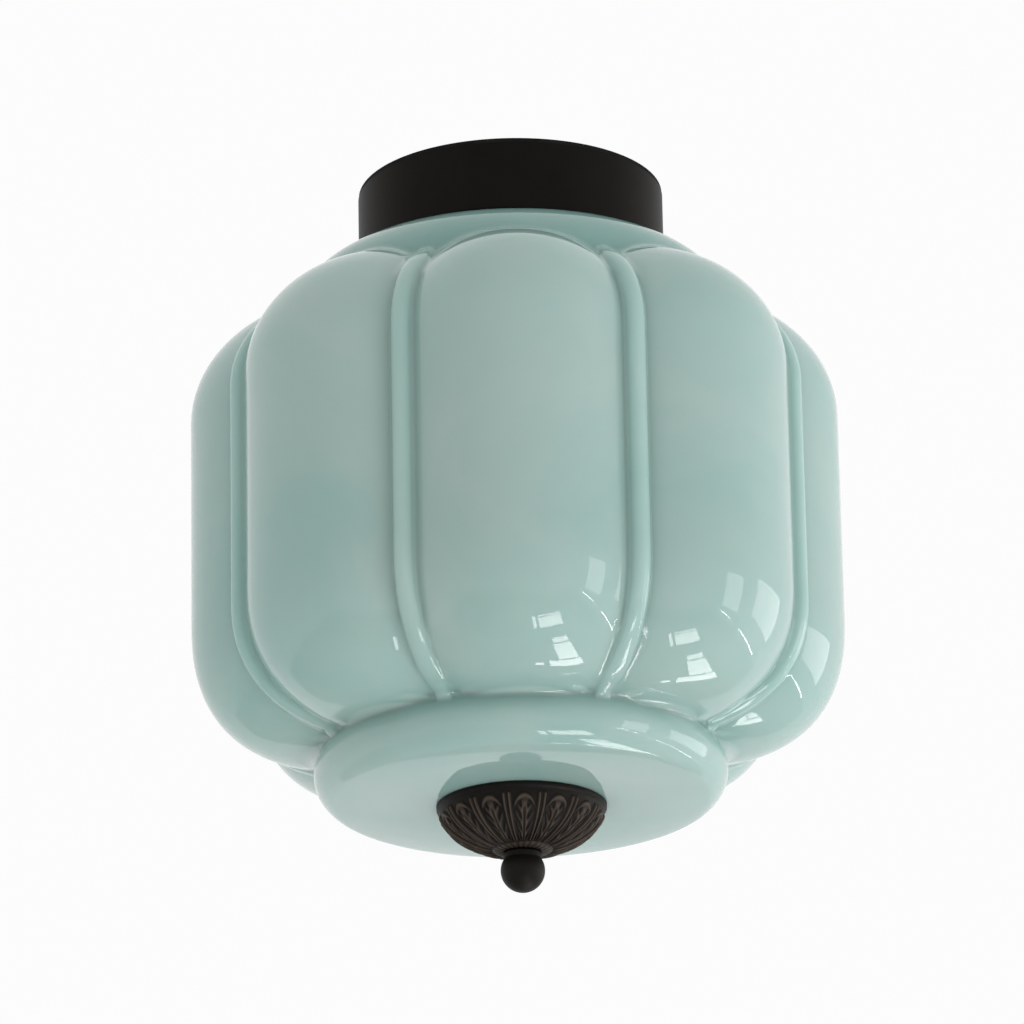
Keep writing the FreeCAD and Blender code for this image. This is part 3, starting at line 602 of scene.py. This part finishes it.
def one_leaf_mesh():
    """A fourteenth of the cap: a closed band of rows, with the relief on its outer side."""
    across = np.linspace(-1, 1, 49)
    down = np.linspace(0.0, math.asin((cap_rim - cap_seat) / cap_depth), 92)[:, None]
    leaves, lip = leaf_relief(across[None, :], down)
    height = leaves + lip - leaf_ground
    slope = np.arctan2(np.sin(down) * cap_radius, np.cos(down) * cap_depth)
    radius = cap_radius * np.cos(down) + height * np.cos(slope)
    level = cap_rim - cap_depth * np.sin(down) - height * np.sin(slope)
    level = np.clip(level, cap_seat, cap_rim - rim_bevel)
    inner = cap_radius - cap_wall
    inner_depth = cap_depth - cap_wall
    ledge = cap_rim - cap_ledge_drop
    turned = [(inner + rim_bevel, cap_rim), (inner, cap_rim - rim_bevel), (inner, ledge),
              (inner - cap_ledge_width, ledge), (inner - cap_ledge_width, ledge - cap_wall)]
    inner_start = math.asin((cap_ledge_drop + cap_wall) / inner_depth)
    inner_end = math.acos(cap_boss_radius / inner)
    for angle in np.linspace(inner_start, inner_end, 14):
        turned.append((inner * math.cos(angle), cap_rim - inner_depth * math.sin(angle)))
    boss_top = cap_rim - cap_depth / 2
    turned += [(cap_boss_radius, boss_top), (cap_hole_radius, boss_top), (cap_hole_radius, cap_seat)]
    rim_row = flat_rows(across, [(cap_radius - rim_bevel, cap_rim)])
    rows = np.array(rim_row + list(zip(radius, level)) + flat_rows(across, turned[::-1]))
    radius, level = rows.transpose(1, 0, 2)
    raised = np.zeros(radius.shape)
    raised[1:1 + height.shape[0]] = leaves / full_relief
    turn = leaf_turn - math.pi / 2 + across * math.pi / leaf_count
    return band_mesh("one_leaf", radius, level, turn, "raised", raised)


ground_bronze = (0.0080, 0.0068, 0.0054, 1)
rubbed_bronze = (0.0800, 0.0600, 0.0460, 1)
# Painted shade: the slits are drawn towards this near black.
slit_shade_bronze = (0.0020, 0.0016, 0.0012, 1)


def cast_bronze():
    """Dark bronze, rubbed browner where the relief stands up, with painted shade darkest down in the slits.
    """
    material, tree, shader = new_material("cast_bronze")
    place = tree.nodes.new("ShaderNodeTexCoord")
    height = tree.nodes.new("ShaderNodeAttribute")
    height.attribute_name = "raised"
    rub = add_node(tree, "ShaderNodeTexNoise", Scale=260.0, Detail=3.0, Roughness=0.6)
    cast = add_node(tree, "ShaderNodeTexNoise", Scale=900.0, Detail=3.0, Roughness=0.65)
    bump = add_node(tree, "ShaderNodeBump", Strength=0.5, Distance=0.0003)
    link = tree.links.new
    link(place.outputs["Object"], rub.inputs["Vector"])
    rubbed = calc(tree, "MULTIPLY_ADD", rub.outputs["Fac"], rub_share, height.outputs["Fac"])
    tint = ramp(tree, rubbed, 0.22, ground_bronze, 1.0, rubbed_bronze)
    # Painted shade in the slits and hollows of the relief.
    metal = shadowed(tree, tint, slit_shade_bronze, reach=0.0030, amount=1.3)
    link(metal, shader.inputs["Base Color"])
    link(place.outputs["Object"], cast.inputs["Vector"])
    link(cast.outputs["Fac"], bump.inputs["Height"])
    link(bump.outputs["Normal"], shader.inputs["Normal"])
    set_inputs(shader, Roughness=0.45, Specular_IOR_Level=0.10)
    return material


leaves = grown("cast_leaf_cap", one_leaf_mesh(), round_the_axis,
               {"Copies": leaf_count, "Weld distance": 1e-6, "Material": cast_bronze()})
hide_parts("leaf_cap")
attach(leaves, "cap")


# ------------------------------------------------------------------ canopy
# The canopy is spun from steel sheet and finished in a nearly black bronze enamel, fine-grained
# and satin. The neck ring and the ball are turned from steel and have the same enamel.
def grained(name, dark, light, blotch, grain, depth, stretch=(1.0, 1.0, 1.0), **finish):
    """A material that drifts between two colours in soft blotches and has a fine grain.

    blotch and grain are how many there are to the metre, depth is the grain's in metres. The
    finish is the Principled shader's other inputs, by name."""
    material, tree, shader = new_material(name)
    place = tree.nodes.new("ShaderNodeTexCoord")
    drawn = add_node(tree, "ShaderNodeMapping", Scale=stretch)
    drift = add_node(tree, "ShaderNodeTexNoise", Scale=blotch, Detail=4.0, Roughness=0.6)
    speckle = add_node(tree, "ShaderNodeTexNoise", Scale=grain, Detail=2.0, Roughness=0.6)
    bump = add_node(tree, "ShaderNodeBump", Strength=0.5, Distance=depth)
    link = tree.links.new
    link(place.outputs["Object"], drawn.inputs["Vector"])
    link(drawn.outputs[0], drift.inputs["Vector"])
    tint = ramp(tree, drift.outputs["Fac"], 0.35, (*dark, 1), 0.70, (*light, 1))
    link(tint, shader.inputs["Base Color"])
    link(drawn.outputs[0], speckle.inputs["Vector"])
    link(speckle.outputs["Fac"], bump.inputs["Height"])
    link(bump.outputs["Normal"], shader.inputs["Normal"])
    set_inputs(shader, **finish)
    return material


def dress(node, material):
    """Give a node that stays as it is its finish."""
    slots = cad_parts[node].data.materials
    slots.clear()
    slots.append(material)


enamel_dark = (0.0050, 0.0042, 0.0032)
enamel_light = (0.0078, 0.0064, 0.0050)
canopy_enamel = grained("canopy_enamel", enamel_dark, enamel_light, blotch=35.0, grain=1400.0,
                        depth=0.00014, Roughness=0.44, Specular_IOR_Level=0.06)
ball_enamel = grained("ball_enamel", enamel_dark, enamel_light, blotch=60.0, grain=1400.0,
                      depth=0.00010, Roughness=0.50, Specular_IOR_Level=0.12)
dress("canopy_pan", canopy_enamel)
dress("neck_ring", ball_enamel)
dress("ball_nut", ball_enamel)


# ------------------------------------------------------------------ middle tube
# A steel tube with an M10 x 1 thread rolled along its whole length and a light zinc plating.
# It screws into the crossbar, carries the canopy and the lampholders and ends in the ball.
rod_bore = 0.0036
rod_pitch = 0.0010
rod_thread_depth = 0.00061
rod_end_bevel = 0.0006


def turned_mesh(name, profile, x, columns):
    """A closed profile of (radius, level) pairs turned about an upright axis at x."""
    radius, level = np.array(profile).T
    angle = np.linspace(0, 2 * math.pi, columns, endpoint=False)
    points = np.stack([x + radius[:, None] * np.cos(angle), radius[:, None] * np.sin(angle),
                       level[:, None] + 0 * angle], -1)
    tall = len(profile)
    faces = []
    for row in range(tall):
        this, after = row * columns, (row + 1) % tall * columns
        for step in range(columns):
            beside = (step + 1) % columns
            faces.append((this + step, after + step, after + beside, this + beside))
    mesh = bpy.data.meshes.new(name)
    mesh.from_pydata(points.reshape(-1, 3).tolist(), [], faces)
    mesh.update()
    return mesh


def thread_tree():
    """Geometry nodes: a right-handed thread pressed in towards an upright axis at Axis X."""
    tree = bpy.data.node_groups.new("pressed_thread", "GeometryNodeTree")
    tree_socket(tree, "Mesh", "NodeSocketGeometry")
    for name in ("Pitch", "Depth", "Rounding", "Low", "High", "Axis X", "Beyond radius"):
        tree_socket(tree, name, "NodeSocketFloat")
    tree_socket(tree, "Material", "NodeSocketMaterial")
    tree_socket(tree, "Mesh", "NodeSocketGeometry", "OUTPUT")
    start = tree.nodes.new("NodeGroupInput").outputs
    end = tree.nodes.new("NodeGroupOutput")
    place = tree.nodes.new("ShaderNodeSeparateXYZ")
    across = calc(tree, "SUBTRACT", place.outputs["X"], start["Axis X"])
    along = place.outputs["Y"]
    level = place.outputs["Z"]
    square = calc(tree, "ADD", calc(tree, "POWER", across, 2.0), calc(tree, "POWER", along, 2.0))
    radius = calc(tree, "SQRT", square)
    turn = calc(tree, "DIVIDE", calc(tree, "ARCTAN2", along, across), 2 * math.pi)
    phase = calc(tree, "SUBTRACT", calc(tree, "DIVIDE", level, start["Pitch"]), turn)
    sharp = calc(tree, "MULTIPLY", calc(tree, "PINGPONG", phase, 0.5), 2.0)
    wave = calc(tree, "COSINE", calc(tree, "MULTIPLY", phase, 2 * math.pi))
    soft = calc(tree, "MULTIPLY_ADD", wave, -0.5, 0.5)
    mixed = calc(tree, "MULTIPLY_ADD", calc(tree, "SUBTRACT", soft, sharp), start["Rounding"], sharp)
    from_low = calc(tree, "DIVIDE", calc(tree, "SUBTRACT", level, start["Low"]), start["Pitch"])
    from_high = calc(tree, "DIVIDE", calc(tree, "SUBTRACT", start["High"], level), start["Pitch"])
    from_end = calc(tree, "MINIMUM", from_low, from_high)
    inside = calc(tree, "MINIMUM", calc(tree, "MAXIMUM", from_end, 0.0), 1.0)
    outside = calc(tree, "GREATER_THAN", radius, start["Beyond radius"])
    pressed = calc(tree, "MULTIPLY", calc(tree, "MULTIPLY", mixed, inside), outside)
    inwards = calc(tree, "MULTIPLY", calc(tree, "MULTIPLY", pressed, start["Depth"]), -1.0)
    pull = calc(tree, "DIVIDE", inwards, radius)
    offset = tree.nodes.new("ShaderNodeCombineXYZ")
    shift = tree.nodes.new("GeometryNodeSetPosition")
    realize = tree.nodes.new("GeometryNodeRealizeInstances")
    paint = tree.nodes.new("GeometryNodeSetMaterial")
    link = tree.links.new
    link(tree.nodes.new("GeometryNodeInputPosition").outputs[0], place.inputs[0])
    link(calc(tree, "MULTIPLY", across, pull), offset.inputs["X"])
    link(calc(tree, "MULTIPLY", along, pull), offset.inputs["Y"])
    link(start["Mesh"], shift.inputs["Geometry"])
    link(offset.outputs[0], shift.inputs["Offset"])
    link(shift.outputs["Geometry"], realize.inputs["Geometry"])
    link(realize.outputs["Geometry"], paint.inputs["Geometry"])
    link(start["Material"], paint.inputs["Material"])
    link(paint.outputs["Geometry"], end.inputs["Mesh"])
    return tree


def rod_profile(low, high, outer):
    """The tube's wall, bevelled at both ends, with four rows to each turn of the thread."""
    bevel = rod_end_bevel
    side = np.arange(high - bevel, low + bevel, -rod_pitch / 4)
    return ([(rod_bore, high), (outer - bevel, high)] + [(outer, level) for level in side]
            + [(outer, low + bevel), (outer - bevel, low), (rod_bore, low)])


rod_zinc = grained("rod_zinc", (0.38, 0.39, 0.40), (0.56, 0.57, 0.57), blotch=90.0, grain=2500.0,
                   depth=0.00003, Metallic=1.0, Roughness=0.34)
pressed_thread = thread_tree()
rod_low, rod_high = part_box("centre_rod")
rod_radius = (rod_high.x - rod_low.x) / 2
rod_mesh = turned_mesh("plain_tube", rod_profile(rod_low.z, rod_high.z, rod_radius), x=0.0, columns=30)
rod = grown("threaded_tube", rod_mesh, pressed_thread,
            {"Pitch": rod_pitch, "Depth": rod_thread_depth, "Rounding": 0.0,
             "Low": rod_low.z + rod_end_bevel, "High": rod_high.z - rod_end_bevel, "Axis X": 0.0,
             "Beyond radius": (rod_bore + rod_radius) / 2, "Material": rod_zinc})
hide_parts("centre_rod")
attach(rod, "root")


# ------------------------------------------------------------------ crossbar and bracket
# Two straps of strip steel, punched and then zinc plated: the crossbar that the ceiling box's
# screws hold, and the bracket that the lampholders hang from. The strip's rolling lines show.
strap_zinc = grained("strap_zinc", (0.42, 0.43, 0.44), (0.60, 0.61, 0.60), blotch=70.0, grain=900.0,
                     depth=0.00004, stretch=(0.15, 1.0, 1.0), Metallic=1.0, Roughness=0.38)
dress("mounting_crossbar", strap_zinc)
dress("lamp_bracket", strap_zinc)


# ------------------------------------------------------------------ nuts and washers
# Five hexagon nuts and two plain washers of zinc plated steel on the tube, brighter than the
# straps, with the faint yellow cast of their passivation.
nut_zinc = grained("nut_zinc", (0.46, 0.45, 0.40), (0.66, 0.65, 0.59), blotch=220.0, grain=2000.0,
                   depth=0.00003, Metallic=1.0, Roughness=0.30)
for node in ("crossbar_nut", "canopy_upper_nut", "canopy_lower_nut", "bracket_upper_nut", "bracket_lower_nut",
             "canopy_upper_washer", "canopy_lower_washer"):
    dress(node, nut_zinc)


# ------------------------------------------------------------------ steel screws
# Slotted steel screws, zinc plated: two that hold the terminal block down on the canopy's floor
# and four that hold the lampholders under the bracket.
screw_zinc = grained("screw_zinc", (0.40, 0.41, 0.42), (0.62, 0.62, 0.61), blotch=400.0, grain=3000.0,
                     depth=0.00003, Metallic=1.0, Roughness=0.27)
dress("block_screws", screw_zinc)
dress("holder_screws", screw_zinc)


# ------------------------------------------------------------------ brass fittings
# Plain turned and stamped brass, a little tarnished: the earth screw and its ring terminal, the
# terminal block's clamping screws, the lampholders' tongues, the lamps' contacts and the thread
# insert in the ball.
tarnished_brass = grained("tarnished_brass", (0.42, 0.27, 0.09), (0.66, 0.47, 0.20), blotch=260.0,
                          grain=1800.0, depth=0.00003, Metallic=1.0, Roughness=0.33)
for node in ("earth_screw", "earth_lug", "pole_screws", "contact_tongue_left", "contact_tongue_right",
             "lamp_contact_left", "lamp_contact_right", "ball_insert"):
    dress(node, tarnished_brass)


# ------------------------------------------------------------------ terminal block
# An ivory block moulded in hard plastic, dull, with a fine eroded grain from its mould. It is
# screwed to the canopy's floor and joins the supply to the lamps' leads.
ivory_plastic = grained("ivory_plastic", (0.60, 0.58, 0.50), (0.70, 0.68, 0.60), blotch=50.0,
                        grain=1600.0, depth=0.00006, Roughness=0.52)
dress("terminal_block", ivory_plastic)


# ------------------------------------------------------------------ rubber rings
# Moulded black rubber, dull, with a powdery bloom: the rings between canopy and ceiling, canopy
# and shade, and shade and cap, and the grommet where the leads pass the canopy's floor.
black_rubber = grained("black_rubber", (0.006, 0.006, 0.006), (0.014, 0.014, 0.013), blotch=120.0,
                       grain=1200.0, depth=0.00008, Roughness=0.85, Specular_IOR_Level=0.10)
for node in ("ceiling_gasket", "neck_gasket", "cap_gasket", "lead_grommet"):
    dress(node, black_rubber)


# ------------------------------------------------------------------ lampholders
# Two round lampholders of white glazed porcelain, screwed under the bracket. The glaze is glossy
# and lies a little unevenly.
glazed_porcelain = grained("glazed_porcelain", (0.70, 0.69, 0.64), (0.77, 0.76, 0.72), blotch=40.0,
                           grain=160.0, depth=0.00012, Roughness=0.10, Subsurface_Weight=0.15,
                           Subsurface_Radius=(0.0016, 0.0014, 0.0011))
for node in ("lampholder_left", "lampholder_right"):
    dress(node, glazed_porcelain)


# ------------------------------------------------------------------ screw shells and lamp caps
# Thin rolled sheet with the coarse rounded lamp thread: a brass shell inside each lampholder, and
# the bright aluminium cap that the lamp's glass is cemented into.
lamp_pitch = 0.00363
lamp_thread_depth = 0.00045


def shell_profile(low, high, outer, wall, end_hole):
    """Sheet tube, open below; above it closes with a flat rim down to end_hole, if that is given.

    It has sixteen rows to each turn of the thread."""
    side = np.arange(high - 3 * wall, low + 2 * wall, -lamp_pitch / 16)
    inner = outer - wall
    edge = [(outer, low + 0.3 * wall), (outer - 0.3 * wall, low), (inner, low)]
    down = [(outer, level) for level in side] + edge
    up = [(inner, level) for level in side[::-1]]
    if not end_hole:
        return [(inner, high), (outer, high)] + down + up
    corner = [(outer - 2 * wall, high), (outer - 0.8 * wall, high - 0.3 * wall),
              (outer - 0.2 * wall, high - 1.1 * wall)]
    return [(end_hole, high)] + corner + down + up + [(inner - wall, high - wall), (end_hole, high - wall)]


def rolled_shell(node, wall, end_hole, low_margin, high_margin, material, body):
    """A shell in a node's place, its thread running out at a margin from either end."""
    low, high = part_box(node)
    middle = (low.x + high.x) / 2
    outer = (high.x - low.x) / 2
    profile = shell_profile(low.z, high.z, outer, wall, end_hole)
    plain = turned_mesh("plain_" + node, profile, x=middle, columns=64)
    piece = grown("rolled_" + node, plain, pressed_thread,
                  {"Pitch": lamp_pitch, "Depth": lamp_thread_depth, "Rounding": 1.0,
                   "Low": low.z + low_margin, "High": high.z - high_margin, "Axis X": middle,
                   "Beyond radius": outer - 2 * wall, "Material": material})
    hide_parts(node)
    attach(piece, body)


shell_brass = grained("shell_brass", (0.50, 0.33, 0.12), (0.70, 0.50, 0.22), blotch=300.0,
                      grain=2200.0, depth=0.00002, Metallic=1.0, Roughness=0.28)
cap_aluminium = grained("cap_aluminium", (0.62, 0.62, 0.61), (0.78, 0.78, 0.77), blotch=300.0,
                        grain=2200.0, depth=0.00002, Metallic=1.0, Roughness=0.26)
for side in ("left", "right"):
    rolled_shell("screw_shell_" + side, wall=0.0005, end_hole=None, low_margin=0.002,
                 high_margin=0.002, material=shell_brass, body="root")
    rolled_shell("lamp_cap_" + side, wall=0.0006, end_hole=0.0090, low_margin=0.0050,
                 high_margin=0.0022, material=cap_aluminium, body="lamp_" + side)


# ------------------------------------------------------------------ lamps
# Globe lamps of thin frosted glass, blown, with a soft bloom, and above the metal cap a cone of
# black fused glass that holds the brass contact.
frosted_glass = grained("frosted_glass", (0.74, 0.74, 0.71), (0.80, 0.80, 0.77), blotch=30.0,
                        grain=700.0, depth=0.00003, Roughness=0.36, Subsurface_Weight=0.35,
                        Subsurface_Radius=(0.004, 0.004, 0.0035))
black_glass = grained("black_glass", (0.006, 0.006, 0.007), (0.016, 0.016, 0.018), blotch=250.0,
                      grain=400.0, depth=0.00010, Roughness=0.12)
for side in ("left", "right"):
    dress("lamp_globe_" + side, frosted_glass)
    dress("lamp_insulator_" + side, black_glass)


# ------------------------------------------------------------------ lamp leads
# Single leads in brown and in blue plastic insulation, from the terminal block through the
# grommet to the lampholders. They stay where they are when the shade is taken down.
brown_insulation = grained("brown_insulation", (0.085, 0.032, 0.014), (0.125, 0.050, 0.022),
                           blotch=300.0, grain=1500.0, depth=0.00003, Roughness=0.42)
blue_insulation = grained("blue_insulation", (0.015, 0.070, 0.280), (0.028, 0.110, 0.380),
                          blotch=300.0, grain=1500.0, depth=0.00003, Roughness=0.42)
for side in ("left", "right"):
    dress("live_lead_" + side, brown_insulation)
    dress("neutral_lead_" + side, blue_insulation)


# ------------------------------------------------------------------ earth lead
# A single lead in plain green plastic insulation, from the terminal block to the ring terminal
# under the crossbar's earth screw.
earth_insulation = grained("earth_insulation", (0.030, 0.220, 0.030), (0.050, 0.300, 0.045),
                           blotch=300.0, grain=1500.0, depth=0.00003, Roughness=0.42)
dress("earth_lead", earth_insulation)
